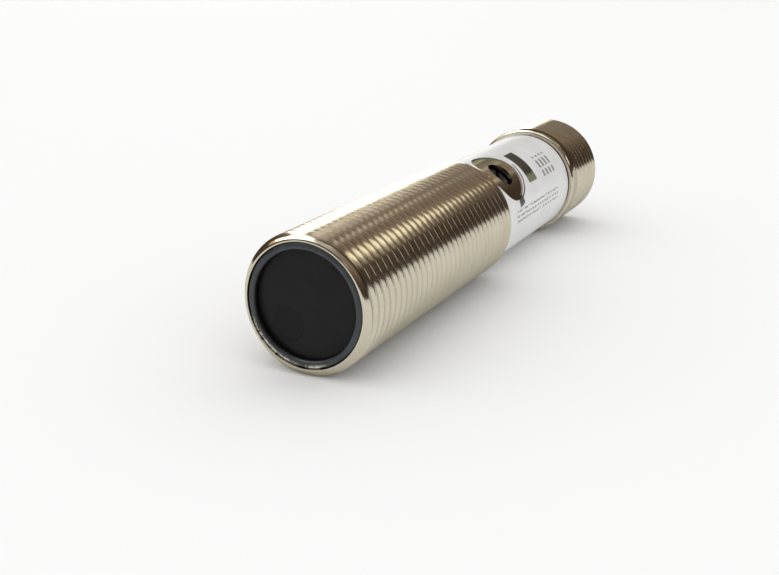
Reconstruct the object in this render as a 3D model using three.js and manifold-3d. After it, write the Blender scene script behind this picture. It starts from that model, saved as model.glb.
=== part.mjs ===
// Cylindrical M12 proximity sensor, diffuse light type, lying on its side.
// Millimetres, +Z up. The sensing face looks along -Y and the plug end along +Y.
// "back" is a distance behind the front face, and "lift" is a distance from the sensor's axis
// along the adjuster's own axis.
import * as THREE from "three";
import { mergeVertices } from "three/addons/utils/BufferGeometryUtils.js";
import Module from "manifold-3d";

const wasm = await Module();
wasm.setup();

// Overall
const LENGTH = 60;
const THREAD_R = 5.975; // crest radius of an M12 x 1 outside thread
const ROOT_R = 5.39;
const PITCH = 1;
const CREST_WIDTH = 0.16;
const CREST_START = 0.06; // where the crest passes the top line, as a part of one pitch
const FACETS = 24;
const FRONT_Y = -LENGTH / 2;
const AXIS_Z = THREAD_R;
const CORE_TURN = THREE.MathUtils.degToRad(36); // the circuit board faces the adjuster hole

// Housing tube
const FRONT_CHAMFER = 0.52;
const THREAD_END = 31.2;
const TUBE_END = 50.4;
const SEAT_R = 5.38;
const BORE_R = 4.85;
const NOSE_BORE_R = 5.26;
const NOSE_BORE_END = 2.25;

// Front window and optics
const RING_R = 5.22;
const RING_LIP_R = 4.55;
const WINDOW_R = 4.8;
const WINDOW_FRONT = 0.65;
const WINDOW_THICKNESS = 1;
const LENS_R = 1.45;
const LENS_SIDE = 1.8;
const LENS_RISE = 2.0;
const HOLDER_FRONT = 2.4;
const HOLDER_END = 11.6;
const CHANNEL_R = 1.2;

// Circuit boards
const BOARD_THICKNESS = 0.8;
const BOARD_LIFT = 0.2;
const BOARD_TOP = BOARD_LIFT + BOARD_THICKNESS;
const BOARD_WIDTH = 8.6;
const BOARD_START = 13.1;
const BOARD_END = 44.7;
const SOLDER_GAP = 0.06;

// Sensitivity adjuster and status light
const ADJUSTER_BACK = 34.5;
const ADJUSTER_HOLE_R = 1.5;
const ROTOR_HEAD_R = 1.2;
const ROTOR_SHAFT_R = 0.75;
const ROTOR_TOP = 4.85;
const RUNNING_GAP = 0.05;
const LIGHT_HOLE_R = 0.95;
const LIGHT_GUIDE_R = 0.85;

// Label
const LABEL_START = 31.45;
const LABEL_END = 50.15;
const LABEL_IN_R = 5.41;
const LABEL_OUT_R = 5.49;
const LABEL_CUTOUT_R = 3.2;

// Plug end
const SHELL_BORE_R = 4;
const SOCKET_R = 4.35;
const SOCKET_FLOOR = 51;
const PIN_R = 0.5;
const PIN_CIRCLE_R = 2.75;
const PIN_END = 58.6;

// A closed three.js geometry as a solid, turned right side out if it was built inside out.
function solid(geometry) {
  const source = geometry.index ? geometry.toNonIndexed() : geometry;
  const bare = new THREE.BufferGeometry();
  bare.setAttribute("position", source.getAttribute("position"));
  const merged = mergeVertices(bare, 1e-4);
  const index = merged.index.array;
  const kept = [];
  for (let i = 0; i < index.length; i += 3) {
    const [a, b, c] = [index[i], index[i + 1], index[i + 2]];
    if (a !== b && b !== c && c !== a) kept.push(a, b, c);
  }
  const vertProperties = new Float32Array(merged.attributes.position.array);
  const build = (list) =>
    new wasm.Manifold(new wasm.Mesh({ numProp: 3, vertProperties, triVerts: new Uint32Array(list) }));
  const made = build(kept);
  return made.volume() < 0 ? build(kept.reverse()) : made;
}

// A profile turned round Y. Each point is [place along Y, radius to the middle of a flat].
function lathe(points, facets) {
  const corner = 1 / Math.cos(Math.PI / facets);
  const profile = points.map(([along, radius]) => new THREE.Vector2(radius * corner, along));
  profile.push(profile[0].clone());
  return new THREE.LatheGeometry(profile, facets, Math.PI / facets);
}

// Turned on the sensor's own axis, or on one parallel to it. Points are [back, radius].
function turned(points, facets = FACETS, side = 0, rise = 0) {
  return solid(lathe(points, facets).translate(side, FRONT_Y, AXIS_Z + rise));
}

// Puts a geometry made with Z as its lift and Y as its back into the turned circuit frame.
function inCore(geometry) {
  return solid(geometry.translate(0, FRONT_Y, 0).rotateY(CORE_TURN).translate(0, 0, AXIS_Z));
}

// Turned on the adjuster's axis. Points are [lift, radius].
function lifted(points, facets = FACETS) {
  return inCore(lathe(points, facets).rotateX(Math.PI / 2).translate(0, ADJUSTER_BACK, 0));
}

// A block in the circuit frame: across, back and lift each run from the first to the second value.
function block(across, back, lift) {
  const size = [across, back, lift].map(([low, high]) => high - low);
  const middle = [across, back, lift].map(([low, high]) => (low + high) / 2);
  return inCore(new THREE.BoxGeometry(...size).translate(...middle));
}

// A right-hand screw thread as a solid bar, longer than it needs to be. Each column of points runs
// along the bar. One turn moves on by one pitch, so the last column joins the first one three
// points further back, and a fan to a point on the axis closes each end.
function screwBar(from, to) {
  const shape = [
    [-CREST_WIDTH / 2, THREAD_R],
    [CREST_WIDTH / 2, THREAD_R],
    [PITCH / 2, ROOT_R],
  ];
  const corner = 1 / Math.cos(Math.PI / FACETS);
  const firstCrest = Math.floor(from) - 3 + CREST_START;
  const crests = Math.ceil(to - from) + 7;
  const rows = crests * shape.length;
  const points = [];
  const triangles = [];
  const at = (row, column) => column * rows + row;
  for (let column = 0; column < FACETS; column++) {
    const turn = (column + 0.5) / FACETS;
    for (let row = 0; row < rows; row++) {
      const [offset, radius] = shape[row % shape.length];
      const along = firstCrest + (Math.floor(row / shape.length) + turn) * PITCH + offset;
      const angle = turn * 2 * Math.PI;
      points.push(
        Math.sin(angle) * radius * corner,
        along + FRONT_Y,
        Math.cos(angle) * radius * corner + AXIS_Z,
      );
    }
  }
  const quad = (a, b, c, d) => triangles.push(a, b, c, a, c, d);
  for (let column = 0; column < FACETS; column++) {
    const seam = column === FACETS - 1;
    const next = seam ? 0 : column + 1;
    const shift = seam ? shape.length : 0;
    for (let row = 0; row + 1 + shift < rows; row++) {
      quad(at(row, column), at(row + 1, column), at(row + 1 + shift, next), at(row + shift, next));
    }
  }
  const last = rows - 1;
  const frontLoop = [];
  const rearLoop = [];
  for (let column = 0; column < FACETS; column++) {
    frontLoop.push(at(0, column));
    rearLoop.unshift(at(last, column));
  }
  for (let step = shape.length; step > 0; step--) frontLoop.push(at(step, 0));
  for (let step = 1; step <= shape.length; step++) rearLoop.unshift(at(last - step, FACETS - 1));
  const fan = (loop, along) => {
    const hub = points.length / 3;
    points.push(0, along + FRONT_Y, AXIS_Z);
    loop.forEach((point, i) => triangles.push(hub, point, loop[(i + 1) % loop.length]));
  };
  fan(frontLoop, firstCrest - 2);
  fan(rearLoop, firstCrest + crests + 3);
  const bar = new THREE.BufferGeometry();
  bar.setAttribute("position", new THREE.Float32BufferAttribute(points, 3));
  bar.setIndex(triangles);
  return solid(bar);
}

const part = new THREE.Group();
part.name = "proximity_sensor";

// Adds one piece to the part.
function add(name, body, color) {
  const mesh = body.getMesh();
  const geometry = new THREE.BufferGeometry();
  geometry.setAttribute("position", new THREE.BufferAttribute(new Float32Array(mesh.vertProperties), 3));
  geometry.setIndex(new THREE.BufferAttribute(new Uint32Array(mesh.triVerts), 1));
  const piece = new THREE.Mesh(geometry, new THREE.MeshStandardMaterial({ color }));
  piece.name = name;
  part.add(piece);
}

const NICKEL = 0xb9b0a0;
const BLACK = 0x1d1f22;
const RUBBER = 0x2a2a2c;
const BOARD_GREEN = 0x1f5a3a;
const GOLD = 0xd0a848;

// Housing: threaded front, smooth seat for the label, stepped bore, two round holes in the wall.
const threadLimit = turned([
  [0, 0],
  [0, THREAD_R - FRONT_CHAMFER],
  [FRONT_CHAMFER, THREAD_R + 0.01],
  [THREAD_END - 0.3, THREAD_R + 0.01],
  [THREAD_END, ROOT_R],
  [THREAD_END + 0.05, 0],
]);
const seat = turned([
  [THREAD_END - 1, 0],
  [THREAD_END - 1, SEAT_R],
  [TUBE_END, SEAT_R],
  [TUBE_END, 0],
]);
const bore = turned([
  [-1, 0],
  [-1, NOSE_BORE_R],
  [NOSE_BORE_END, NOSE_BORE_R],
  [NOSE_BORE_END, BORE_R],
  [TUBE_END + 1, BORE_R],
  [TUBE_END + 1, 0],
]);
const adjusterHole = lifted([
  [2, 0],
  [2, ADJUSTER_HOLE_R],
  [8, ADJUSTER_HOLE_R],
  [8, 0],
]);
const lightHole = lifted([
  [-8, 0],
  [-8, LIGHT_HOLE_R],
  [-2, LIGHT_HOLE_R],
  [-2, 0],
]);
const tube = screwBar(0, THREAD_END).intersect(threadLimit).add(seat).subtract(bore);
add("housing", tube.subtract(adjusterHole).subtract(lightHole), NICKEL);

// Black front ring with a rounded lip, and the recessed window that it holds.
add(
  "front_ring",
  turned([
    [0.18, RING_LIP_R],
    [0.04, RING_LIP_R + 0.14],
    [0, RING_LIP_R + 0.28],
    [0.03, RING_R - 0.12],
    [0.14, RING_R],
    [2.2, RING_R],
    [2.2, WINDOW_R + 0.04],
    [WINDOW_FRONT - 0.04, WINDOW_R + 0.04],
    [WINDOW_FRONT - 0.04, RING_LIP_R],
  ]),
  BLACK,
);
const windowBack = WINDOW_FRONT + WINDOW_THICKNESS;
add(
  "front_window",
  turned([
    [WINDOW_FRONT, 0],
    [WINDOW_FRONT, WINDOW_R],
    [windowBack, WINDOW_R],
    [windowBack, 0],
  ]),
  0x26282c,
);
add(
  "window_gasket",
  turned([
    [windowBack + 0.04, 4.36],
    [windowBack + 0.04, WINDOW_R],
    [2.2, WINDOW_R],
    [2.2, 4.36],
  ]),
  RUBBER,
);

// Optics: a holder with two parallel channels, a lens in front of each, a light source behind one
// and a light receiver behind the other, both on a round board.
const channels = [
  { lens: "emitter_lens", side: -LENS_SIDE, rise: -LENS_RISE },
  { lens: "receiver_lens", side: LENS_SIDE, rise: LENS_RISE },
];
let holder = turned([
  [HOLDER_FRONT, 0],
  [HOLDER_FRONT, BORE_R - 0.05],
  [HOLDER_END, BORE_R - 0.05],
  [HOLDER_END, 0],
]);
for (const { side, rise } of channels) {
  const channel = [
    [HOLDER_FRONT - 1, 0],
    [HOLDER_FRONT - 1, LENS_R + 0.05],
    [4.3, LENS_R + 0.05],
    [4.3, CHANNEL_R],
    [HOLDER_END + 1, CHANNEL_R],
    [HOLDER_END + 1, 0],
  ];
  holder = holder.subtract(turned(channel, 16, side, rise));
}
add("optics_holder", holder, BLACK);
for (const { lens, side, rise } of channels) {
  const plumpSide = [
    [2.5, 0],
    [2.56, 0.5],
    [2.75, 1],
    [3.1, LENS_R],
    [4.2, LENS_R],
    [4.2, 0],
  ];
  add(lens, turned(plumpSide, 16, side, rise), 0x7a2a26);
}
add(
  "emitter_led",
  turned(
    [
      [8.6, 0],
      [8.72, 0.5],
      [9.1, 0.85],
      [9.6, 0.95],
      [11.2, 0.95],
      [11.2, 1.12],
      [11.94, 1.12],
      [11.94, 0],
    ],
    16,
    -LENS_SIDE,
    -LENS_RISE,
  ),
  0xb8c4d8,
);
const receiver = new THREE.BoxGeometry(1.5, 0.94, 1.5);
receiver.translate(LENS_SIDE, FRONT_Y + 11.47, AXIS_Z + LENS_RISE);
add("photodiode", solid(receiver), BLACK);
add(
  "optics_board",
  turned([
    [12, 0],
    [12, 4.6],
    [12 + BOARD_THICKNESS, 4.6],
    [12 + BOARD_THICKNESS, 0],
  ]),
  BOARD_GREEN,
);

// Main board with the pieces soldered to it.
const halfBoard = BOARD_WIDTH / 2;
add("main_board", block([-halfBoard, halfBoard], [BOARD_START, BOARD_END], [BOARD_LIFT, BOARD_TOP]), BOARD_GREEN);
const onTop = BOARD_TOP + SOLDER_GAP;
const underneath = BOARD_LIFT - SOLDER_GAP;
let header = block([-2.4, 2.4], [14, 15.3], [onTop, onTop + 1.1]);
for (const across of [-1.8, -0.6, 0.6, 1.8]) {
  header = header.add(block([across - 0.15, across + 0.15], [12.86, 14.5], [onTop + 0.3, onTop + 0.6]));
}
add("board_header", header, BLACK);
add("sensor_chip", block([-2.2, 2.2], [17.5, 22.5], [onTop, onTop + 1.1]), BLACK);
add("input_capacitor", block([-1.4, 1.4], [25, 28.5], [onTop, onTop + 1.9]), 0xc08a3a);
add("output_transistor", block([-1.5, 1.5], [38.5, 41.5], [onTop, onTop + 1.3]), BLACK);
add("protection_diode", block([-1.3, 1.3], [37, 41.3], [underneath - 2, underneath]), BLACK);
add("regulator_chip", block([-2, 2], [18, 23], [underneath - 1.4, underneath]), BLACK);

// Sensitivity adjuster: a square body on the board, a slotted rotor in it, and a seal round it.
const adjusterTop = onTop + 2.4;
const rotorBore = lifted([
  [1.6, 0],
  [1.6, ROTOR_SHAFT_R + RUNNING_GAP],
  [adjusterTop + 1, ROTOR_SHAFT_R + RUNNING_GAP],
  [adjusterTop + 1, 0],
]);
const adjusterBlock = block([-1.65, 1.65], [ADJUSTER_BACK - 1.65, ADJUSTER_BACK + 1.65], [onTop, adjusterTop]);
add("adjuster_body", adjusterBlock.subtract(rotorBore), 0x2b4c86);
const rotorBar = lifted([
  [1.7, 0],
  [1.7, ROTOR_SHAFT_R],
  [adjusterTop + 0.08, ROTOR_SHAFT_R],
  [adjusterTop + 0.08, ROTOR_HEAD_R],
  [ROTOR_TOP - 0.1, ROTOR_HEAD_R],
  [ROTOR_TOP, ROTOR_HEAD_R - 0.1],
  [ROTOR_TOP, 0],
]);
const slotBox = new THREE.BoxGeometry(0.45, 3, 1).rotateZ(THREE.MathUtils.degToRad(35));
const slot = inCore(slotBox.translate(0, ADJUSTER_BACK, ROTOR_TOP));
add("adjuster_rotor", rotorBar.subtract(slot), BLACK);
add(
  "adjuster_seal",
  lifted([
    [adjusterTop + 0.06, ROTOR_HEAD_R + RUNNING_GAP],
    [adjusterTop + 0.06, 1.9],
    [4.25, 1.9],
    [4.25, ROTOR_HEAD_R + RUNNING_GAP],
  ]),
  RUBBER,
);

// Status light under the board, and the clear rod that carries it to the wall.
const lampBack = [ADJUSTER_BACK - 0.8, ADJUSTER_BACK + 0.8];
add("status_led", block([-0.5, 0.5], lampBack, [underneath - 0.7, underneath]), 0xe8d060);
add(
  "light_guide",
  lifted(
    [
      [underneath - 0.8, 0],
      [underneath - 0.8, LIGHT_GUIDE_R],
      [-5.1, LIGHT_GUIDE_R],
      [-5.28, 0.6],
      [-5.34, 0],
    ],
    16,
  ),
  0xe6e6e0,
);

// Wrap-round label with an opening round each hole.
const sleeve = turned([
  [LABEL_START, LABEL_IN_R],
  [LABEL_START, LABEL_OUT_R],
  [LABEL_END, LABEL_OUT_R],
  [LABEL_END, LABEL_IN_R],
]);
const cutout = lifted([
  [3, 0],
  [3, LABEL_CUTOUT_R],
  [8, LABEL_CUTOUT_R],
  [8, 0],
]);
const peephole = lifted([
  [-8, 0],
  [-8, 1.2],
  [-3, 1.2],
  [-3, 0],
]);
add("label_sleeve", sleeve.subtract(cutout).subtract(peephole), 0xf2f2f0);

// Plug end: a threaded shell pushed into the tube, its seal, and the contacts.
const collarLimit = turned([
  [51.5, 0],
  [51.5, ROOT_R],
  [52.35, ROOT_R],
  [52.6, THREAD_R + 0.01],
  [LENGTH - 0.5, THREAD_R + 0.01],
  [LENGTH, THREAD_R - 0.5],
  [LENGTH, 0],
]);
const collarBar = turned([
  [45.7, 0],
  [45.7, 4.65],
  [45.8, 4.78],
  [47.2, 4.78],
  [47.2, 4.32],
  [48.4, 4.32],
  [48.4, 4.78],
  [TUBE_END + 0.06, 4.78],
  [TUBE_END + 0.06, THREAD_R - 0.15],
  [TUBE_END + 0.21, THREAD_R],
  [51.85, THREAD_R],
  [52, THREAD_R - 0.15],
  [52, ROOT_R - 0.05],
  [52.6, ROOT_R - 0.05],
  [52.6, 0],
]);
const socket = turned([
  [45, 0],
  [45, SHELL_BORE_R],
  [SOCKET_FLOOR, SHELL_BORE_R],
  [SOCKET_FLOOR, SOCKET_R],
  [LENGTH - 0.35, SOCKET_R],
  [LENGTH, SOCKET_R + 0.35],
  [LENGTH + 1, SOCKET_R + 0.35],
  [LENGTH + 1, 0],
]);
const collar = screwBar(51, LENGTH).intersect(collarLimit).add(collarBar).subtract(socket);
add("connector_shell", collar, NICKEL);
add(
  "shell_seal",
  turned([
    [47.3, 4.48],
    [47.5, 4.36],
    [48.1, 4.36],
    [48.3, 4.48],
    [48.3, 4.68],
    [48.1, 4.8],
    [47.5, 4.8],
    [47.3, 4.68],
  ]),
  RUBBER,
);
const pinPlaces = [0, 1, 2, 3].map((i) => {
  const angle = CORE_TURN + Math.PI / 4 + (i * Math.PI) / 2;
  return [PIN_CIRCLE_R * Math.sin(angle), PIN_CIRCLE_R * Math.cos(angle)];
});
const pinHoles = pinPlaces.map(([side, rise]) =>
  turned(
    [
      [40, 0],
      [40, PIN_R + 0.04],
      [55, PIN_R + 0.04],
      [55, 0],
    ],
    12,
    side,
    rise,
  ),
);
let insert = turned([
  [46, 0],
  [46, SHELL_BORE_R - 0.05],
  [SOCKET_FLOOR + 0.05, SHELL_BORE_R - 0.05],
  [SOCKET_FLOOR + 0.05, SOCKET_R - 0.06],
  [51.8, SOCKET_R - 0.06],
  [51.8, 0],
]);
insert = insert.add(block([-0.45, 0.45], [51.4, 58.8], [3.75, SOCKET_R - 0.1]));
let pinBoard = turned([
  [44.8, 0],
  [44.8, 4.6],
  [45.5, 4.6],
  [45.5, 0],
]);
for (const hole of pinHoles) {
  insert = insert.subtract(hole);
  pinBoard = pinBoard.subtract(hole);
}
add("connector_insert", insert, BLACK);
add("pin_board", pinBoard, BOARD_GREEN);
pinPlaces.forEach(([side, rise], i) => {
  const pin = [
    [44.2, 0],
    [44.2, PIN_R],
    [PIN_END - 0.5, PIN_R],
    [PIN_END - 0.12, PIN_R - 0.2],
    [PIN_END, 0],
  ];
  add("contact_pin_" + (i + 1), turned(pin, 12, side, rise), GOLD);
});

export default part;
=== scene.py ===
"""Looks of a cylindrical M12 sensor lying on its side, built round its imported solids.

Lengths in the tables are millimetres. "back" is a distance behind the front face, and "turn" is an
angle round the sensor's axis from straight up towards +X. "lift" is a distance from the sensor's
axis along the adjuster's own axis.
"""

import math

import bmesh
import bpy
import numpy as np
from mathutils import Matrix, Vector


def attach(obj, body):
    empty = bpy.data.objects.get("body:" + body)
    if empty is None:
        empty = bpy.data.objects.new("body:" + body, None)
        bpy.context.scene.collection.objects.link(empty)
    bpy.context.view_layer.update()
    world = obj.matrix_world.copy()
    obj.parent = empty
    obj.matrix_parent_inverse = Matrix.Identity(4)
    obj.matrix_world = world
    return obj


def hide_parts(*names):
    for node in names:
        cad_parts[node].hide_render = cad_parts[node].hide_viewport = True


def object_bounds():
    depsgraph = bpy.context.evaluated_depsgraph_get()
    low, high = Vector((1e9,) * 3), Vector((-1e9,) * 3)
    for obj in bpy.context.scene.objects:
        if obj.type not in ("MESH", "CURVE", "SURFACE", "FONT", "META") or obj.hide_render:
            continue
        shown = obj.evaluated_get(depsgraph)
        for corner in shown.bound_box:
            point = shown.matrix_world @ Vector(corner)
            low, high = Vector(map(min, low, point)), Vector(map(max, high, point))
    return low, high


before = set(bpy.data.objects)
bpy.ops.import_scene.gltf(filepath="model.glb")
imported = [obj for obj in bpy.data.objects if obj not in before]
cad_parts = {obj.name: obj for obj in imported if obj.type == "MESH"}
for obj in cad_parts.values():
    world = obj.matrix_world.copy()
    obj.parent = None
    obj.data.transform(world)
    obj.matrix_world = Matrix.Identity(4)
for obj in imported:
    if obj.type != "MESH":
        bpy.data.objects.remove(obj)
cad_low, cad_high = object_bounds()

MM = 0.001
TAU = 2 * math.pi
DEGREES = 180 / math.pi

# Where the solids lie, and their widest radius, which is the thread's crest.
FRONT = cad_low[1] / MM
AXIS_Z = (cad_low[2] + cad_high[2]) / 2 / MM
CREST_R = (cad_high[0] - cad_low[0]) / 2 / MM

# The threads, the seat under the label, and the label.
PITCH = 1.0
CREST_START = 0.06
ROOT_R = 5.39
SEAT_R = 5.38
LABEL_R = 5.49

# The adjuster's axis and the directions about it.
ADJUSTER_TURN = math.radians(36)
ADJUSTER_BACK = 34.5
ADJUSTER_FOOT = np.array([0, ADJUSTER_BACK + FRONT, AXIS_Z])
LIFT_WAY = np.array([math.sin(ADJUSTER_TURN), 0, math.cos(ADJUSTER_TURN)])
ACROSS_WAY = np.array([math.cos(ADJUSTER_TURN), 0, -math.sin(ADJUSTER_TURN)])
BACK_WAY = np.array([0, 1.0, 0])
FRONT_WAY = np.array([0, -1.0, 0])

# How the meshes are made: steps round a piece, and edges over SHARP_ANGLE stay sharp.
COLUMNS = 160
SHARP_ANGLE = math.radians(32)
# An arc has ARC_STEPS steps, takes at most ARC_SHARE of a side, and has a guard point outside it.
ARC_STEPS = 4
ARC_SHARE = 0.42
GUARD_SHARE = 0.12
# Cutting tools have sharp corners. A radius under ON_AXIS counts as on the axis.
TOOL_BEVEL = 0.001
ON_AXIS = 1e-6
# A thread row this near an end counts as on it. After a cut, edges under SLIVER are dissolved.
AT_END = 1e-6
SLIVER = 2e-5


# ---------------------------------------------------------------- shapes


def mesh_piece(name, points, faces):
    """A mesh from an array of corners in millimetres and an array of triangles. Corners that no
    triangle uses are dropped."""
    used, faces = np.unique(faces, return_inverse=True)
    faces = faces.reshape(-1, 3)
    points = points[used] * MM
    mesh = bpy.data.meshes.new(name)
    mesh.vertices.add(len(points))
    mesh.vertices.foreach_set("co", points.astype(np.float32).ravel())
    mesh.loops.add(faces.size)
    mesh.loops.foreach_set("vertex_index", faces.astype(np.int32).ravel())
    mesh.polygons.add(len(faces))
    mesh.polygons.foreach_set("loop_start", np.arange(0, faces.size, 3, dtype=np.int32))
    mesh.update(calc_edges=True)
    shade(mesh)
    piece = bpy.data.objects.new(name, mesh)
    bpy.context.scene.collection.objects.link(piece)
    return piece


def shade(mesh):
    """Smooth shading, except over the sharp edges."""
    mesh.polygons.foreach_set("use_smooth", np.ones(len(mesh.polygons), dtype=bool))
    mesh.set_sharp_from_angle(angle=SHARP_ANGLE)


def grid_faces(index, wrap_rows):
    """Triangles over a grid of corner numbers, row by row along the profile and column by column
    round the axis. With wrap_rows the last row joins the first."""
    below = index if wrap_rows else index[:-1]
    above = np.roll(index, -1, axis=0) if wrap_rows else index[1:]
    below_next = np.roll(below, -1, axis=1)
    above_next = np.roll(above, -1, axis=1)
    first = np.stack([below, below_next, above_next], -1).reshape(-1, 3)
    second = np.stack([below, above_next, above], -1).reshape(-1, 3)
    return proper(np.concatenate([first, second]))


def proper(faces):
    """The triangles whose three corners differ."""
    a, b, c = faces.T
    return faces[(a != b) & (b != c) & (c != a)]


def around(back, radius, turn):
    """Corners at a distance behind the front, a radius and a turn round the sensor's axis."""
    return np.stack([radius * np.sin(turn), back + FRONT, radius * np.cos(turn) + AXIS_Z], -1)


def rounded(profile, radius, closed):
    """Each corner of a profile becomes a short arc. The arc is the curve (1-t)^2 A + 2t(1-t) B +
    t^2 C from a point A before the corner B to a point C after it, and a point just outside each
    end keeps the shading of the flats flat. An open profile keeps its two end points."""
    points = np.array(profile, float)
    out = []
    count = len(points)
    for i, corner in enumerate(points):
        if not closed and i in (0, count - 1):
            out.append(corner)
            continue
        back_way = points[i - 1] - corner
        ahead_way = points[(i + 1) % count] - corner
        back_length, ahead_length = np.hypot(*back_way), np.hypot(*ahead_way)
        reach = min(radius, ARC_SHARE * back_length, ARC_SHARE * ahead_length)
        start = corner + back_way / back_length * reach
        end = corner + ahead_way / ahead_length * reach
        out.append(start + back_way / back_length * reach * GUARD_SHARE)
        for t in np.linspace(0, 1, ARC_STEPS + 1):
            out.append((1 - t) ** 2 * start + 2 * t * (1 - t) * corner + t**2 * end)
        out.append(end + ahead_way / ahead_length * reach * GUARD_SHARE)
    return np.array(out)


def turned_points(profile, columns, place):
    """A profile of (along, radius) carried round its axis: corner = place(along, radius, angle).
    A row on the axis becomes one corner."""
    along, radius = np.array(profile, float).T
    angle = np.arange(columns) * TAU / columns
    points = place(*np.broadcast_arrays(along[:, None], radius[:, None], angle))
    index = np.arange(len(along) * columns).reshape(len(along), columns)
    index[radius < ON_AXIS] = index[radius < ON_AXIS][:, :1]
    return points.reshape(-1, 3), index


def turned(name, profile, bevel=0.04, columns=COLUMNS, closed=True, side=0.0, rise=0.0):
    """A ring or bar turned about the sensor's axis or one parallel to it, with rounded corners.
    Profiles run back along the outside and forward along the inside, so that faces look out."""
    def place(along, radius, angle):
        return around(along, radius, angle) + np.array([side, 0, rise])

    points, index = turned_points(rounded(profile, bevel, closed), columns, place)
    return mesh_piece(name, points, grid_faces(index, closed))


def lifted(name, profile, bevel=0.04, columns=96, closed=True):
    """The same, about the adjuster's axis. Profiles rise along the outside and fall along the
    inside."""
    def place(along, radius, angle):
        return (
            ADJUSTER_FOOT
            + along[..., None] * LIFT_WAY
            + (radius * np.sin(angle))[..., None] * ACROSS_WAY
            + (radius * np.cos(angle))[..., None] * FRONT_WAY
        )

    points, index = turned_points(rounded(profile, bevel, closed), columns, place)
    return mesh_piece(name, points, grid_faces(index, closed))


def borer(name, start, end, radius):
    """A plain rod about the adjuster's axis, for cutting a round hole."""
    return lifted(name, [(start, radius), (end, radius), (end, 0), (start, 0)], bevel=TOOL_BEVEL)


# One pitch of the thread: how far each row lies from the crest, and the depth there.
THREAD_ROWS = [0, 0.055, 0.085, 0.11, 0.24, 0.37, 0.42, 0.5, 0.58, 0.63, 0.76, 0.89, 0.915, 0.945]
THREAD_SHAPE = [
    (0, 0), (0.055, 0), (0.085, 0.012), (0.11, 0.05), (0.37, 0.535), (0.42, 0.573), (0.5, 0.585),
]
# Whole pitches of rows beyond each end, so that every column reaches it.
SPARE_PITCHES = 2


def threaded(name, start, end, limit, rest):
    """A screw thread with the rest of its piece. Row i lies at back = s_i + pitch * turn / 360
    degrees, so the last column joins the first one a whole pitch further on. The radius is the
    lower of the thread's own profile and the limit, a profile of (back, radius) that chamfers its
    ends. Rows past an end are laid on the end circle. The rest is the profile from the rear end
    circle round the inside to the front one."""
    rows_a_pitch = len(THREAD_ROWS)
    first = math.floor(start) - SPARE_PITCHES
    pitches = math.ceil(end - start) + 2 * SPARE_PITCHES
    row_start = (first + np.arange(pitches)[:, None] + np.array(THREAD_ROWS)).ravel() + CREST_START
    turn = np.arange(COLUMNS) * TAU / COLUMNS
    helix = turn / TAU * PITCH
    back = row_start[:, None] + helix
    kept = np.clip(back, start, end)
    away = np.abs((kept - CREST_START - helix + PITCH / 2) % PITCH - PITCH / 2)
    depth = np.interp(away, *np.array(THREAD_SHAPE).T)
    radius = np.minimum(CREST_R - depth, np.interp(kept, *np.array(limit).T))
    points = around(kept, radius, turn + 0 * kept)
    rows = len(row_start)
    index = np.arange(rows * COLUMNS).reshape(rows, COLUMNS)
    low_row = (back <= start + AT_END).sum(axis=0) - 1
    high_row = rows - (back >= end - AT_END).sum(axis=0)
    row_number = np.clip(np.arange(rows)[:, None], low_row, high_row)
    index = np.take_along_axis(index, row_number, axis=0)
    ahead = np.concatenate([index[:, 1:], np.full((rows, 1), -1)], axis=1)
    ahead[: rows - rows_a_pitch, -1] = index[rows_a_pitch:, 0]
    ahead[rows - rows_a_pitch :, -1] = index[-1, 0]
    low, high, low_ahead, high_ahead = index[:-1], index[1:], ahead[:-1], ahead[1:]
    faces = np.concatenate(
        [
            np.stack([low, low_ahead, high_ahead], -1).reshape(-1, 3),
            np.stack([low, high_ahead, high], -1).reshape(-1, 3),
        ]
    )
    rest_points, rest_index = turned_points(rest, COLUMNS, around)
    rest_index = rest_index + rows * COLUMNS
    loop = np.concatenate([index[-1:], rest_index, index[:1]])
    faces = np.concatenate([proper(faces), grid_faces(loop, False)])
    return mesh_piece(name, np.concatenate([points.reshape(-1, 3), rest_points]), faces)


def cut(piece, *tools, operation="DIFFERENCE"):
    """Takes the tools' shapes out of a piece, or adds them with UNION, and removes the tools and
    the slivers that this leaves."""
    for tool in tools:
        change = piece.modifiers.new("cut", "BOOLEAN")
        change.operation = operation
        change.solver = "MANIFOLD"
        change.object = tool
    changed = piece.evaluated_get(bpy.context.evaluated_depsgraph_get())
    made = bpy.data.meshes.new_from_object(changed)
    piece.modifiers.clear()
    old = piece.data
    piece.data = made
    made.name = piece.name
    bpy.data.meshes.remove(old)
    clean = bmesh.new()
    clean.from_mesh(made)
    bmesh.ops.dissolve_degenerate(clean, dist=SLIVER * MM, edges=clean.edges)
    bmesh.ops.triangulate(clean, faces=clean.faces)
    clean.to_mesh(made)
    clean.free()
    shade(made)
    for tool in tools:
        bpy.data.objects.remove(tool)
    return piece


def bar(name, across, back, lift, spin=0.0):
    """A plain block about the adjuster's axis, turned by spin about that axis, for cutting. Its
    back is measured from the adjuster's."""
    corner = np.array([[x, y, z] for x in across for y in back for z in lift], float)
    x, y = corner[:, 0].copy(), corner[:, 1].copy()
    corner[:, 0] = x * math.cos(spin) - y * math.sin(spin)
    corner[:, 1] = x * math.sin(spin) + y * math.cos(spin)
    points = corner[:, :1] * ACROSS_WAY + corner[:, 1:2] * BACK_WAY + corner[:, 2:] * LIFT_WAY
    points = points + ADJUSTER_FOOT
    quads = np.array([[0, 1, 3, 2], [4, 6, 7, 5], [0, 4, 5, 1], [2, 3, 7, 6], [0, 2, 6, 4], [1, 5, 7, 3]])
    return mesh_piece(name, points, np.concatenate([quads[:, [0, 1, 2]], quads[:, [0, 2, 3]]]))


# ---------------------------------------------------------------- finishes

# The colour sockets of a Mix node share their names with others, so they go by number.
MIX_FACTOR, MIX_FIRST, MIX_SECOND, MIX_RESULT = 0, 6, 7, 2
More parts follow.
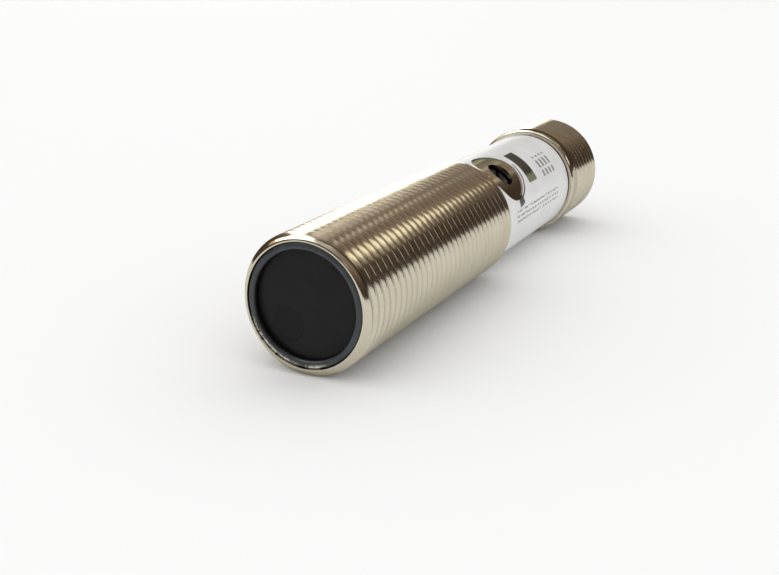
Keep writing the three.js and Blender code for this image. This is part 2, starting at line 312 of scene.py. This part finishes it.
# Noise between these two values runs from one cloudy shade to the other.
CLOUD_RANGE = (0.3, 0.7)


class Signal:
    """A number or colour socket in a finish. Arithmetic on it adds Math nodes."""

    def __init__(self, finish, socket):
        self.finish = finish
        self.socket = socket

    def calculate(self, operation, first, second):
        return self.finish.node("ShaderNodeMath", {"operation": operation}, {0: first, 1: second})

    def __add__(self, other):
        return self.calculate("ADD", self, other)

    def __radd__(self, other):
        return self.calculate("ADD", other, self)

    def __sub__(self, other):
        return self.calculate("SUBTRACT", self, other)

    def __mul__(self, other):
        return self.calculate("MULTIPLY", self, other)

    def __rmul__(self, other):
        return self.calculate("MULTIPLY", other, self)

    def __truediv__(self, other):
        return self.calculate("DIVIDE", self, other)

    def larger(self, other):
        return self.calculate("MAXIMUM", self, other)

    def part_of(self, period):
        """What is left over after whole periods."""
        return self.calculate("FLOORED_MODULO", self, period)

    def rise(self, low, high):
        """0 below low, 1 above high and a straight line between. High may be the lower one."""
        ends = {"From Min": low, "From Max": high, "To Min": 0.0, "To Max": 1.0}
        return self.finish.node("ShaderNodeMapRange", {"clamp": True}, {"Value": self, **ends})

    def band(self, low, high, soft):
        """1 between low and high, with edges that are soft to each side."""
        return self.rise(low - soft, low + soft) * self.rise(high + soft, high - soft)


class Finish:
    """The nodes of a material or a world, being built."""

    def __init__(self, owner):
        self.owner = owner
        owner.use_nodes = True
        self.tree = owner.node_tree
        self.tree.nodes.clear()

    def node(self, kind, settings=None, sockets=None, output=0):
        """Adds a node: its settings first, then the values or links of its sockets."""
        made = self.tree.nodes.new(kind)
        for key, value in (settings or {}).items():
            if key == "stops":
                ramp = made.color_ramp
                while len(ramp.elements) < len(value):
                    ramp.elements.new(1.0)
                for element, (place, colour) in zip(ramp.elements, value):
                    element.position = place
                    element.color = (*colour, 1.0)
            else:
                setattr(made, key, value)
        for key, value in (sockets or {}).items():
            socket = made.inputs[key]
            if isinstance(value, Signal):
                self.tree.links.new(value.socket, socket)
            elif isinstance(value, tuple) and len(value) == 3 and socket.type == "RGBA":
                socket.default_value = (*value, 1.0)
            else:
                socket.default_value = value
        return Signal(self, made.outputs[output])

    def place(self):
        """The surface point in millimetres, with its zero on the sensor's axis at the front face."""
        raw = self.node("ShaderNodeTexCoord", output="Object")
        shift = (0.0, -FRONT * MM, -AXIS_Z * MM)
        moved = self.node("ShaderNodeVectorMath", {"operation": "ADD"}, {0: raw, 1: shift})
        return self.node("ShaderNodeVectorMath", {"operation": "SCALE"}, {0: moved, "Scale": 1 / MM})

    def split(self, vector):
        """The three numbers of a vector. Of a place they are its side, back and rise."""
        first = self.node("ShaderNodeSeparateXYZ", None, {0: vector})
        return [Signal(self, socket) for socket in first.socket.node.outputs]

    def vector(self, x, y, z):
        return self.node("ShaderNodeCombineXYZ", None, {0: x, 1: y, 2: z})

    def turn_of(self, x, y):
        """The angle of a point in degrees, from the y direction towards x."""
        return self.node("ShaderNodeMath", {"operation": "ARCTAN2"}, {0: x, 1: y}) * DEGREES

    def reach_of(self, x, y):
        """How far a point lies from zero."""
        return self.node("ShaderNodeMath", {"operation": "SQRT"}, {0: x * x + y * y})

    def noise(self, vector, scale, detail=3.0, roughness=0.55):
        sockets = {"Vector": vector, "Scale": scale, "Detail": detail, "Roughness": roughness}
        return self.node("ShaderNodeTexNoise", {"noise_dimensions": "3D"}, sockets)

    def spots(self, vector, scale):
        """Distance to the nearest of many scattered points."""
        return self.node("ShaderNodeTexVoronoi", None, {"Vector": vector, "Scale": scale})

    def mix(self, factor, first, second):
        """A colour between two colours."""
        sockets = {MIX_FACTOR: factor, MIX_FIRST: first, MIX_SECOND: second}
        return self.node("ShaderNodeMix", {"data_type": "RGBA"}, sockets, MIX_RESULT)

    def bump(self, height, distance, strength):
        """Raises the surface by a height times a distance in millimetres."""
        sockets = {"Height": height, "Distance": distance * MM, "Strength": strength}
        return self.node("ShaderNodeBump", None, sockets)

    def show(self, shader, output):
        """Joins a shader to an output node of this kind."""
        out = self.tree.nodes.new(output)
        self.tree.links.new(shader.socket, out.inputs["Surface"])
        return self.owner

    def close(self, **sockets):
        """Adds the material's shader. Socket names are given with _ for a space."""
        named = {key.replace("_", " "): value for key, value in sockets.items()}
        shader = self.node("ShaderNodeBsdfPrincipled", None, named)
        return self.show(shader, "ShaderNodeOutputMaterial")


# Nickel: two cloudy shades, the tint at a grazing angle, and what darkens it: stains, turning lines and
# painted shade in the thread valleys.
NICKEL_WARM = (0.59, 0.545, 0.42)
NICKEL_PALE = (0.645, 0.605, 0.5)
NICKEL_EDGE = (0.62, 0.59, 0.52)
STAIN_BROWN = (0.42, 0.33, 0.22)
LINE_BROWN = (0.48, 0.43, 0.32)
VALLEY_PAINTED_SHADE = (0.1, 0.08, 0.06)
# How far back the two threads run, and the radii between which their valleys get painted shade.
FRONT_THREAD = (0.62, 31.0)
REAR_THREAD = (52.5, 59.6)
VALLEY_SHADE_RADII = (5.74, 5.46)


def nickel_plate():
    """Bright nickel over brass: turning lines round the axis, cloudy tarnish, small stains, and painted
    shade that darkens the valleys of the threads."""
    f = Finish(bpy.data.materials.new("nickel_plate"))
    spot = f.place()
    side, back, rise = f.split(spot)
    turn = f.turn_of(side, rise)
    lines = f.noise(f.vector(back * 9.0, turn * 0.012, 0.0), scale=1.0, detail=4.0, roughness=0.7)
    fine = f.noise(f.vector(back * 40.0, turn * 0.05, 3.0), scale=1.0, detail=2.0, roughness=0.6)
    cloud = f.noise(spot, scale=0.45, detail=4.0)
    stain = f.noise(spot, scale=2.4, detail=5.0, roughness=0.65).rise(0.56, 0.74)
    colour = f.mix(cloud.rise(*CLOUD_RANGE), NICKEL_WARM, NICKEL_PALE)
    colour = f.mix(stain * 0.14, colour, STAIN_BROWN)
    colour = f.mix(lines.rise(0.35, 0.75) * 0.2, colour, LINE_BROWN)
    threads = back.band(*FRONT_THREAD, soft=0.08).larger(back.band(*REAR_THREAD, soft=0.08))
    # Painted shade: along the threads, the colour between the two radii is darkened towards a near-black
    # brown.
    valley_shade = f.reach_of(side, rise).rise(*VALLEY_SHADE_RADII) * threads
    colour = f.mix(valley_shade * 0.8, colour, VALLEY_PAINTED_SHADE)
    rough = 0.075 + 0.05 * cloud + 0.05 * stain + 0.03 * lines + 0.05 * valley_shade
    height = lines * 0.6 + fine * 0.4
    return f.close(
        Base_Color=colour, Metallic=1.0, Roughness=rough, Normal=f.bump(height, 0.006, 0.5),
        Specular_Tint=NICKEL_EDGE,
    )


SCUFF_GREY = (0.09, 0.095, 0.1)
# The front ring: painted shade that blackens its inside wall, and a pale residue on parts of its lip.
RING_INSIDE_PAINTED_SHADE = (0.002, 0.002, 0.002)
RESIDUE = (0.7, 0.68, 0.58)
RESIDUE_TURNS = ((-168.0, -112.0), (160.0, 185.0))
# Painted shade for the inside of the adjuster's slot.
SLOT_PAINTED_SHADE = (0.0008, 0.0008, 0.0008)


def black_moulding(name, colour, gloss, residue_and_inner_shade=False, slot_top=None, shine=0.5):
    """Black moulded plastic with a fine skin, faint cloudiness and a few pale scuffs. For the front ring
    it adds painted shade that makes it blacker on the inside wall, and it is pale at two places on its
    lip. With a slot top, everything nearer the sensor's axis than that lift gets painted shade that makes
    it darker, and is duller."""
    f = Finish(bpy.data.materials.new(name))
    spot = f.place()
    skin = f.noise(spot, scale=14.0)
    cloud = f.noise(spot, scale=0.8, detail=4.0)
    scuff = f.noise(spot, scale=3.5, detail=6.0, roughness=0.75).rise(0.64, 0.78)
    lighter = tuple(c * 1.8 + 0.006 for c in colour)
    tone = f.mix(cloud.rise(*CLOUD_RANGE), colour, lighter)
    tone = f.mix(scuff * 0.25, tone, SCUFF_GREY)
    rough = gloss + 0.12 * cloud + 0.15 * scuff
    if residue_and_inner_shade:
        side, back, rise = f.split(spot)
        turn = f.turn_of(side, rise)
        wide, narrow = RESIDUE_TURNS
        near = turn.band(*wide, soft=8.0).larger(turn.band(*narrow, soft=6.0))
        radius = f.reach_of(side, rise)
        # Painted shade: inside a radius of about 4.7 the ring's inner wall is darkened nearly to black.
        tone = f.mix(radius.rise(4.74, 4.62), tone, RING_INSIDE_PAINTED_SHADE)
        grain = f.noise(spot, scale=2.2, detail=5.0, roughness=0.75).rise(0.45, 0.52)
        tone = f.mix(grain * near * radius.rise(4.85, 5.08), tone, RESIDUE)
    if slot_top is not None:
        side, back, rise = f.split(spot)
        lift = side * math.sin(ADJUSTER_TURN) + rise * math.cos(ADJUSTER_TURN)
        # Painted shade: below the slot's top the rotor is darkened nearly to black and made duller.
        slot_shade = lift.rise(slot_top, slot_top - 0.06)
        tone = f.mix(slot_shade, tone, SLOT_PAINTED_SHADE)
        rough = rough + 0.35 * slot_shade
    return f.close(
        Base_Color=tone, Roughness=rough, Specular_IOR_Level=shine,
        Normal=f.bump(skin, 0.004, 0.35),
    )


WINDOW_SHADES = ((0.0095, 0.0095, 0.0098), (0.0115, 0.0115, 0.0118))
LENS_DISC = (0.006, 0.006, 0.0055)
LENS_RIM = (0.004, 0.004, 0.004)
WINDOW_DUST = (0.06, 0.06, 0.055)
# The lenses behind the window: to the side, up, and how clearly each shows.
LENS_PLACES = ((-1.8, -2.0, 1.0), (1.8, 2.0, 0.35))


def dark_window():
    """A dark polished window. Two round lenses show faintly behind it."""
    f = Finish(bpy.data.materials.new("dark_window"))
    spot = f.place()
    side, back, rise = f.split(spot)
    cloud = f.noise(spot, scale=0.6)
    dust = f.noise(spot, scale=9.0, detail=6.0, roughness=0.8).rise(0.66, 0.8)
    colour = f.mix(cloud.rise(*CLOUD_RANGE), *WINDOW_SHADES)
    for across, up, shown in LENS_PLACES:
        reach = f.reach_of(side - across, rise - up)
        disc = reach.rise(1.46, 1.36) * shown
        rim = reach.band(1.34, 1.44, soft=0.05) * shown
        colour = f.mix(disc * 0.45, colour, LENS_DISC)
        colour = f.mix(rim * 0.55, colour, LENS_RIM)
    colour = f.mix(dust * 0.1, colour, WINDOW_DUST)
    return f.close(Base_Color=colour, Roughness=0.3 + 0.1 * dust, Specular_IOR_Level=0.12)


# The label's paper and inks.
PAPER_SHADES = ((0.665, 0.665, 0.65), (0.74, 0.74, 0.735))
BLOCK_INK = (0.022, 0.024, 0.012)
FRINGE_INK = (0.17, 0.19, 0.1)
DASH_INK = (0.16, 0.16, 0.155)
TEXT_INK = (0.12, 0.12, 0.12)
ARROW_INK = (0.02, 0.02, 0.02)
# Where its marks lie: how far back, and between which turns.
BLOCK_BACK, BLOCK_TURN, FRINGE_TURN = (38.8, 41.1), (18.0, 61.0), (50.0, 54.0)
DASH_BACK, DASH_TURN = (43.2, 47.2), (36.0, 63.0)
TEXT_BACK, TEXT_TURN = (33.6, 46.5), (81.0, 98.0)
FAR_BACK, FAR_TURN = (37.0, 48.0), (-132.0, -60.0)
# The arrow and its head: how far from the adjuster, and the angles they sweep about it.
ARROW_REACH, ARROW_SWEEP = (3.45, 3.68), (-4.0, 74.0)
HEAD_REACH, HEAD_SWEEP = (3.25, 4.25), (68.0, 88.0)
# From the foot of one line of marks to the next.
DASH_LINE = 1.0
TEXT_LINE = 5.5
FAR_LINE = 6.0


def label_film():
    """White film with plain printed marks: a dark block with a grey end, rows of dashes, two
    patches of broken lines and a curved arrow round the adjuster."""
    f = Finish(bpy.data.materials.new("label_film"))
    spot = f.place()
    side, back, rise = f.split(spot)
    turn = f.turn_of(side, rise)
    cloud = f.noise(spot, scale=0.5)
    fibre = f.noise(spot, scale=30.0)
    paper = f.mix(cloud.rise(*CLOUD_RANGE), *PAPER_SHADES)
    block = back.band(*BLOCK_BACK, soft=0.05) * turn.band(*BLOCK_TURN, soft=0.5)
    fringe = block * turn.rise(*FRINGE_TURN)
    colour = f.mix(block, paper, BLOCK_INK)
    colour = f.mix(fringe, colour, FRINGE_INK)
    lines = (back - DASH_BACK[0]).part_of(DASH_LINE).band(0.12, 0.6, soft=0.04)
    dashes = (turn * 0.0955).part_of(1.3).band(0.1, 1.1, soft=0.05)
    patch = back.band(*DASH_BACK, soft=0.03) * turn.band(*DASH_TURN, soft=0.4) * lines * dashes
    colour = f.mix(patch * 0.85, colour, DASH_INK)
    rows = (turn - TEXT_TURN[0]).part_of(TEXT_LINE).band(0.9, 3.4, soft=0.3)
    words = f.noise(f.vector(back * 2.6, turn / TEXT_LINE, 7.0), scale=1.0, detail=0.0)
    words = words.rise(0.44, 0.5)
    text = back.band(*TEXT_BACK, soft=0.1) * turn.band(*TEXT_TURN, soft=0.3) * rows * words
    colour = f.mix(text * 0.8, colour, TEXT_INK)
    far_rows = (turn + 150.0).part_of(FAR_LINE).band(1.2, 3.6, soft=0.3)
    far_words = f.noise(f.vector(back * 2.1, turn / FAR_LINE, 19.0), scale=1.0, detail=0.0)
    far_words = far_words.rise(0.42, 0.48)
    far = back.band(*FAR_BACK, soft=0.1) * turn.band(*FAR_TURN, soft=0.4) * far_rows * far_words
    colour = f.mix(far * 0.8, colour, TEXT_INK)
    x = (turn - math.degrees(ADJUSTER_TURN)) * (LABEL_R * math.pi / 180)
    y = back - ADJUSTER_BACK
    reach = f.reach_of(x, y)
    sweep = f.turn_of(x, y)
    arrow = reach.band(*ARROW_REACH, soft=0.04) * sweep.band(*ARROW_SWEEP, soft=1.5)
    head = reach.band(*HEAD_REACH, soft=0.05) * sweep.band(*HEAD_SWEEP, soft=2.0)
    colour = f.mix(arrow.larger(head), colour, ARROW_INK)
    return f.close(
        Base_Color=colour, Roughness=0.36 + 0.1 * cloud, Coat_Weight=0.2, Coat_Roughness=0.3,
        Normal=f.bump(fibre, 0.003, 0.3),
    )


def plain(name, colour, rough, fleck, metal=0.0, scale=3.0, depth=0.005, clear=0.0):
    """A small part's finish: two cloudy shades, flecks of a third, a fine skin."""
    f = Finish(bpy.data.materials.new(name))
    spot = f.place()
    cloud = f.noise(spot, scale, detail=4.0)
    skin = f.noise(spot, scale * 8)
    flecks = f.noise(spot, scale * 3, detail=5.0, roughness=0.7).rise(0.58, 0.66)
    darker = tuple(c * 0.8 for c in colour)
    lighter = tuple(min(c * 1.12, 1) for c in colour)
    tone = f.mix(cloud.rise(*CLOUD_RANGE), darker, lighter)
    tone = f.mix(flecks * 0.6, tone, fleck)
    return f.close(
        Base_Color=tone, Roughness=rough + 0.12 * cloud, Metallic=metal,
        Transmission_Weight=clear, Normal=f.bump(skin, depth, 0.4),
    )


LACQUER = (0.02, 0.1, 0.045)
TRACK_GREEN = (0.04, 0.2, 0.09)
TINNED = (0.6, 0.58, 0.52)


def board_lacquer():
    """Green lacquer over copper tracks that run along the board, with tinned pads."""
    f = Finish(bpy.data.materials.new("board_green"))
    side, back, rise = f.split(f.place())
    across = side * math.cos(ADJUSTER_TURN) - rise * math.sin(ADJUSTER_TURN)
    wander = f.noise(f.vector(back * 0.35, 0.0, 0.0), scale=1.0, detail=1.0) * 1.6
    track = (across + wander).part_of(0.9).band(0.25, 0.5, soft=0.03)
    pad = f.spots(f.vector(across, back, 0.0), scale=0.9).rise(0.3, 0.26)
    colour = f.mix(track, LACQUER, TRACK_GREEN)
    colour = f.mix(pad, colour, TINNED)
    return f.close(
        Base_Color=colour, Metallic=pad * 0.9, Roughness=0.3, Normal=f.bump(track, 0.02, 0.5)
    )


NICKEL = nickel_plate()
RING_BLACK = black_moulding("ring_black", (0.018, 0.022, 0.025), 0.3, residue_and_inner_shade=True)
BLACK = black_moulding("black_plastic", (0.014, 0.015, 0.017), 0.32)
ROTOR_BLACK = black_moulding(
    "adjuster_black", (0.008, 0.0076, 0.007), 0.5, slot_top=4.78, shine=0.2
)
WINDOW = dark_window()
FILM = label_film()
RUBBER = plain("black_rubber", (0.018, 0.018, 0.018), 0.6, (0.04, 0.04, 0.04), scale=5.0)
GOLD = plain("gold_plate", (0.86, 0.62, 0.24), 0.16, (0.9, 0.72, 0.4), metal=1.0, depth=0.002)
BOARD = board_lacquer()
CHIP = plain("chip_black", (0.025, 0.025, 0.026), 0.5, (0.05, 0.05, 0.05))
CAPACITOR = plain("capacitor_yellow", (0.62, 0.3, 0.05), 0.35, (0.4, 0.2, 0.04))
BLUE = plain("adjuster_blue", (0.03, 0.09, 0.35), 0.4, (0.05, 0.13, 0.42))
LENS = plain("red_lens", (0.3, 0.015, 0.012), 0.1, (0.36, 0.03, 0.02), depth=0.001)
CLEAR = plain(
    "clear_plastic", (0.86, 0.87, 0.84), 0.12, (0.8, 0.8, 0.74), depth=0.001, clear=0.6
)
LAMP = plain("lamp_yellow", (0.8, 0.62, 0.12), 0.3, (0.9, 0.75, 0.25))


# ---------------------------------------------------------------- pieces


def finish_piece(piece, material, slot, *nodes, body="sensor"):
    """Gives a piece its finish and its body, and hides the nodes that it stands for. The slot is not
    used.
    """
    piece.data.materials.clear()
    piece.data.materials.append(material)
    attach(piece, body)
    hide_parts(*nodes)


# Housing: the rim and the stepped bore are turned, the thread is a true helix. Tables that go with
# a thread are of (back, radius).
housing_limit = [(0, 5.455), (0.52, CREST_R), (30.9, CREST_R), (31.2, ROOT_R)]
housing_rest = [
    (31.24, SEAT_R), (31.4, SEAT_R), (32.2, SEAT_R), (33, SEAT_R), (33.8, SEAT_R), (34.6, SEAT_R),
    (36, SEAT_R), (40, SEAT_R), (45, SEAT_R), (50.2, SEAT_R), (50.36, SEAT_R), (50.39, SEAT_R - 0.02),
    (50.4, SEAT_R - 0.06), (50.4, 4.9), (50.39, 4.87), (50.36, 4.85), (50.2, 4.85), (2.4, 4.85),
    (2.25, 4.86), (2.25, 5.25), (2.2, 5.26), (0.12, 5.26), (0.05, 5.262), (0.015, 5.275), (0, 5.3),
    (0, 5.32), (0, 5.36), (0.004, 5.4), (0.02, 5.44), (0.035, 5.47),
]
housing = threaded("housing_tube", 0.05, 31.2, housing_limit, housing_rest)
adjuster_hole = borer("tool_a", 3, 8, radius=1.5)
lamp_hole = borer("tool_b", -8, -3, radius=0.95)
cut(housing, adjuster_hole, lamp_hole)
finish_piece(housing, NICKEL, "nickel_plate", "housing")

# Front ring and window.
ring = turned(
    "front_ring_moulded",
    [
        (0.02, 4.98), (0.1, 5.16), (0.22, 5.22), (2.2, 5.22), (2.2, 4.86), (0.61, 4.86), (0.61, 4.55),
        (0.3, 4.55), (0.1, 4.62), (0.0, 4.77),
    ],
    bevel=0.09,
)
finish_piece(ring, RING_BLACK, "black_plastic", "front_ring")
window = turned("window_disc", [(0.65, 0), (0.65, 4.8), (1.65, 4.8), (1.65, 0)], bevel=0.03, closed=False)
finish_piece(window, WINDOW, "dark_window", "front_window")

# Adjuster: a rotor with a screwdriver slot in a rubber seal.
SLOT_ACROSS, SLOT_ALONG, SLOT_LIFT = (-0.225, 0.225), (-1.6, 1.6), (4.35, 5.4)
SLOT_SPIN = math.radians(35)
rotor = lifted(
    "rotor_slotted",
    [(1.7, 0), (1.7, 0.75), (3.54, 0.75), (3.54, 1.2), (4.85, 1.2), (4.85, 0)],
    bevel=0.09, closed=False,
)
cut(rotor, bar("tool_c", SLOT_ACROSS, SLOT_ALONG, SLOT_LIFT, SLOT_SPIN))
finish_piece(rotor, ROTOR_BLACK, "adjuster_plastic", "adjuster_rotor", body="adjuster")
seal = lifted("seal_ring", [(3.52, 1.9), (4.25, 1.9), (4.25, 1.27), (3.52, 1.27)], bevel=0.12)
finish_piece(seal, RUBBER, "black_rubber", "adjuster_seal")

# Light guide.
guide = lifted(
    "light_guide_rod",
    [(-5.35, 0), (-5.3, 0.6), (-5.12, 0.85), (-0.66, 0.85), (-0.66, 0)],
    bevel=0.08, columns=48, closed=False,
)
finish_piece(guide, CLEAR, "clear_plastic", "light_guide")

# Label, with openings round the adjuster and the light guide.
label_profile = [(31.45, LABEL_R), (50.15, LABEL_R), (50.15, 5.41), (31.45, 5.41)]
label = turned("label_wrap", label_profile, bevel=0.02)
notch = borer("tool_d", 3, 8, radius=3.2)
peephole = borer("tool_e", -8, -3, radius=1.2)
cut(label, notch, peephole)
finish_piece(label, FILM, "label_film", "label_sleeve")

# Plug end: flange, undercut, thread and socket.
shell_limit = [(52.3, ROOT_R), (52.35, ROOT_R), (52.6, CREST_R), (59.5, CREST_R), (60, 5.475)]
shell_rest = [
    (59.99, 5.455), (60, 5.42), (60, 5.39), (60, 4.76), (60, 4.72), (59.98, 4.69), (59.66, 4.36),
    (59.6, 4.35), (59.4, 4.35), (51.2, 4.35), (51.04, 4.35), (51, 4.31), (51, 4.04), (50.96, 4.0),
    (50.8, 4.0), (45.9, 4.0), (45.72, 4.0), (45.7, 4.03), (45.7, 4.62), (45.72, 4.66), (45.8, 4.77),
    (45.84, 4.78), (47.16, 4.78), (47.2, 4.74), (47.2, 4.36), (47.24, 4.32), (48.36, 4.32),
    (48.4, 4.36), (48.4, 4.74), (48.44, 4.78), (50.42, 4.78), (50.46, 4.82), (50.46, 5.76),
    (50.47, 5.82), (50.5, 5.86), (50.6, 5.955), (50.65, 5.97), (50.7, CREST_R), (51.8, CREST_R),
    (51.85, 5.97), (51.9, 5.955), (51.98, 5.87), (52, 5.83), (52, 5.46), (52.03, 5.4), (52.09, 5.36),
    (52.15, 5.35), (52.2, 5.36),
]
shell = threaded("plug_shell", 52.3, 59.97, shell_limit, shell_rest)
finish_piece(shell, NICKEL, "nickel_plate", "connector_shell")

# Contact carrier: a stepped disc with a key, and holes for four pins on a ring.
KEY_ACROSS, KEY_LIFT = (-0.45, 0.45), (3.75, 4.25)
KEY_BACK = (51.4 - ADJUSTER_BACK, 58.8 - ADJUSTER_BACK)
PIN_RING_R = 2.75
PIN_TURNS = [ADJUSTER_TURN + math.pi / 4 + number * math.pi / 2 for number in range(4)]
PIN_PLACES = [(PIN_RING_R * math.sin(angle), PIN_RING_R * math.cos(angle)) for angle in PIN_TURNS]
PIN_COLUMNS = 32
PIN_HOLE = [(45, 0), (45, 0.54), (53, 0.54), (53, 0)]
PIN_PROFILE = [(44.2, 0), (44.2, 0.5), (58.1, 0.5), (58.48, 0.32), (58.6, 0.12), (58.6, 0)]


def pin_shape(name, profile, bevel, place):
    """A rod where a pin goes."""
    side, rise = place
    return turned(name, profile, bevel, PIN_COLUMNS, closed=False, side=side, rise=rise)


insert = turned(
    "contact_carrier",
    [(46, 0), (46, 3.95), (51.05, 3.95), (51.05, 4.29), (51.8, 4.29), (51.8, 0)],
    bevel=0.1, closed=False,
)
cut(insert, bar("tool_f", KEY_ACROSS, KEY_BACK, KEY_LIFT), operation="UNION")
pin_holes = [
    pin_shape(f"tool_pin_{i}", PIN_HOLE, TOOL_BEVEL, place) for i, place in enumerate(PIN_PLACES)
]
cut(insert, *pin_holes)
finish_piece(insert, BLACK, "black_plastic", "connector_insert")
for number, place in enumerate(PIN_PLACES, start=1):
    pin = pin_shape(f"contact_{number}", PIN_PROFILE, 0.12, place)
    finish_piece(pin, GOLD, "gold_plate", f"contact_pin_{number}")

# The pieces inside keep their solids and get their own finishes.
INSIDE = {
    "window_gasket": RUBBER, "optics_holder": BLACK, "emitter_lens": LENS, "receiver_lens": LENS,
    "emitter_led": CLEAR, "photodiode": CHIP, "optics_board": BOARD, "board_header": BLACK,
    "main_board": BOARD, "sensor_chip": CHIP, "input_capacitor": CAPACITOR,
    "regulator_chip": CHIP, "output_transistor": CHIP, "protection_diode": CHIP,
    "adjuster_body": BLUE, "status_led": LAMP, "shell_seal": RUBBER, "pin_board": BOARD,
}
for node, material in INSIDE.items():
    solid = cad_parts[node]
    solid.data.materials.clear()
    solid.data.materials.append(material)


# ---------------------------------------------------------------- stage, light and camera

FLOOR_HALF = 3000.0
FLOOR_WHITE = (0.93, 0.93, 0.93)
# What the metal reflects of the room, by the sine of the height it comes from: 0 is level or below,
# and 1 is straight up.
ROOM_STOPS = [
    (0.0, (0.065, 0.045, 0.033)), (0.3, (0.09, 0.065, 0.05)), (0.55, (0.26, 0.19, 0.15)),
    (0.84, (0.34, 0.29, 0.26)), (0.93, (0.8, 0.78, 0.75)), (1.0, (2.0, 2.0, 1.95)),
]
MATT_LIGHT = (1.04, 1.04, 1.04)
BACKDROP = (1.0, 1.0, 1.0)
PANEL_DISTANCE = 1.3


def stage_floor():
    """A wide white floor under the sensor."""
    half = FLOOR_HALF
    corners = np.array([[-half, -half, 0], [half, -half, 0], [half, half, 0], [-half, half, 0]], float)
    corners[:, 2] = cad_low[2] / MM
    floor = mesh_piece("floor", corners, np.array([[0, 1, 2], [0, 2, 3]]))
    f = Finish(bpy.data.materials.new("floor_white"))
    white = f.close(Base_Color=FLOOR_WHITE, Roughness=0.9, Specular_IOR_Level=0.1)
    floor.data.materials.append(white)


def panel(name, azimuth, elevation, size, radiance, colour=(1, 1, 1)):
    """A soft light that looks at the sensor. Azimuth is from +Y towards +X, in degrees. Panels are
    only there to be reflected: the room's even light is what falls on matt surfaces."""
    light = bpy.data.lights.new(name, "AREA")
    light.shape = "RECTANGLE"
    light.size, light.size_y = size
    light.energy = math.pi * radiance * size[0] * size[1]
    light.color = colour
    lamp = bpy.data.objects.new(name, light)
    bpy.context.scene.collection.objects.link(lamp)
    lamp.visible_diffuse = False
    a, e = math.radians(azimuth), math.radians(elevation)
    way = Vector((math.sin(a) * math.cos(e), math.cos(a) * math.cos(e), math.sin(e)))
    lamp.location = way * PANEL_DISTANCE + Vector((0, 0, AXIS_Z * MM))
    lamp.rotation_euler = (-way).to_track_quat("-Z", "Y").to_euler()


def studio():
    """The room. Metal reflects it as dim and warm, and bright only overhead. Matt surfaces get its
    even white light, and the camera sees it as plain white."""
    world = bpy.data.worlds.new("studio")
    bpy.context.scene.world = world
    f = Finish(world)
    across, along, up = f.split(f.node("ShaderNodeTexCoord", output="Generated"))
    dim = f.node("ShaderNodeValToRGB", {"stops": ROOM_STOPS}, {"Fac": up})
    matt = f.node("ShaderNodeLightPath", output="Is Diffuse Ray")
    seen = f.node("ShaderNodeLightPath", output="Is Camera Ray")
    colour = f.mix(matt, dim, MATT_LIGHT)
    colour = f.mix(seen, colour, BACKDROP)
    background = f.node("ShaderNodeBackground", None, {"Color": colour, "Strength": 1.0})
    f.show(background, "ShaderNodeOutputWorld")


# The camera: its place to the side of, ahead of and above the middle of the front face, in
# millimetres, and the way it looks.
EYE_SIDE, EYE_AHEAD, EYE_ABOVE = 42.86, 70.72, 28.45
LOOK_WAY = (-0.4245, 0.8508, -0.3098)


def camera():
    """The view from in front, to the right and above."""
    data = bpy.data.cameras.new("camera")
    data.sensor_width = 36.0
    data.lens = 51.24
    data.clip_start = 0.002
    data.clip_end = 20.0
    eye = bpy.data.objects.new("camera", data)
    bpy.context.scene.collection.objects.link(eye)
    eye.location = Vector((EYE_SIDE, FRONT - EYE_AHEAD, AXIS_Z + EYE_ABOVE)) * MM
    eye.rotation_euler = Vector(LOOK_WAY).to_track_quat("-Z", "Y").to_euler()
    bpy.context.scene.camera = eye


stage_floor()
studio()
panel("left_wall", -36, 9, (0.65, 0.25), 3.2)
panel("left_mid", -25, 19, (0.365, 0.205), 0.6, (1.0, 0.97, 0.88))
panel("left_high", -14, 25, (0.2275, 0.273), 0.27, (1.0, 0.95, 0.88))
panel("pale_line", -6.5, 27.5, (0.09, 0.25), 0.6, (1.0, 0.97, 0.85))
panel("brown_fill", 3, 27.5, (0.296, 0.25), 0.25, (1.0, 0.8, 0.65))
panel("warm_lamp", 14.5, 27, (0.2, 0.22), 1.05, (1.0, 0.93, 0.74))
panel("warm_edge", 22, 20, (0.136, 0.136), 0.2, (1.0, 0.93, 0.74))
panel("top_left", -72, 60, (0.95, 0.75), 3.2)
panel("front_left", -118, 47, (1.1, 0.8), 2.8)
panel("warm_left", -97, 32, (0.6, 0.48), 0.8, (1.0, 0.62, 0.36))
panel("flank_mid", -156, 38, (0.16, 0.23), 0.65, (1.0, 0.97, 0.88))
panel("flank_high", -165, 38, (0.18, 0.23), 0.35, (1.0, 0.95, 0.86))
panel("flank_line", -178.5, 35.5, (0.07, 0.18), 0.55, (1.0, 0.96, 0.82))
panel("gold_lamp", 165, 25, (0.25, 0.16), 1.45, (1.0, 0.93, 0.72))
panel("gold_low", 160, 19.5, (0.18, 0.12), 0.4, (1.0, 0.92, 0.72))
panel("right_fill", 78, 28, (0.95, 0.32), 1.3)
camera()
bpy.context.scene.view_settings.view_transform = "Standard"
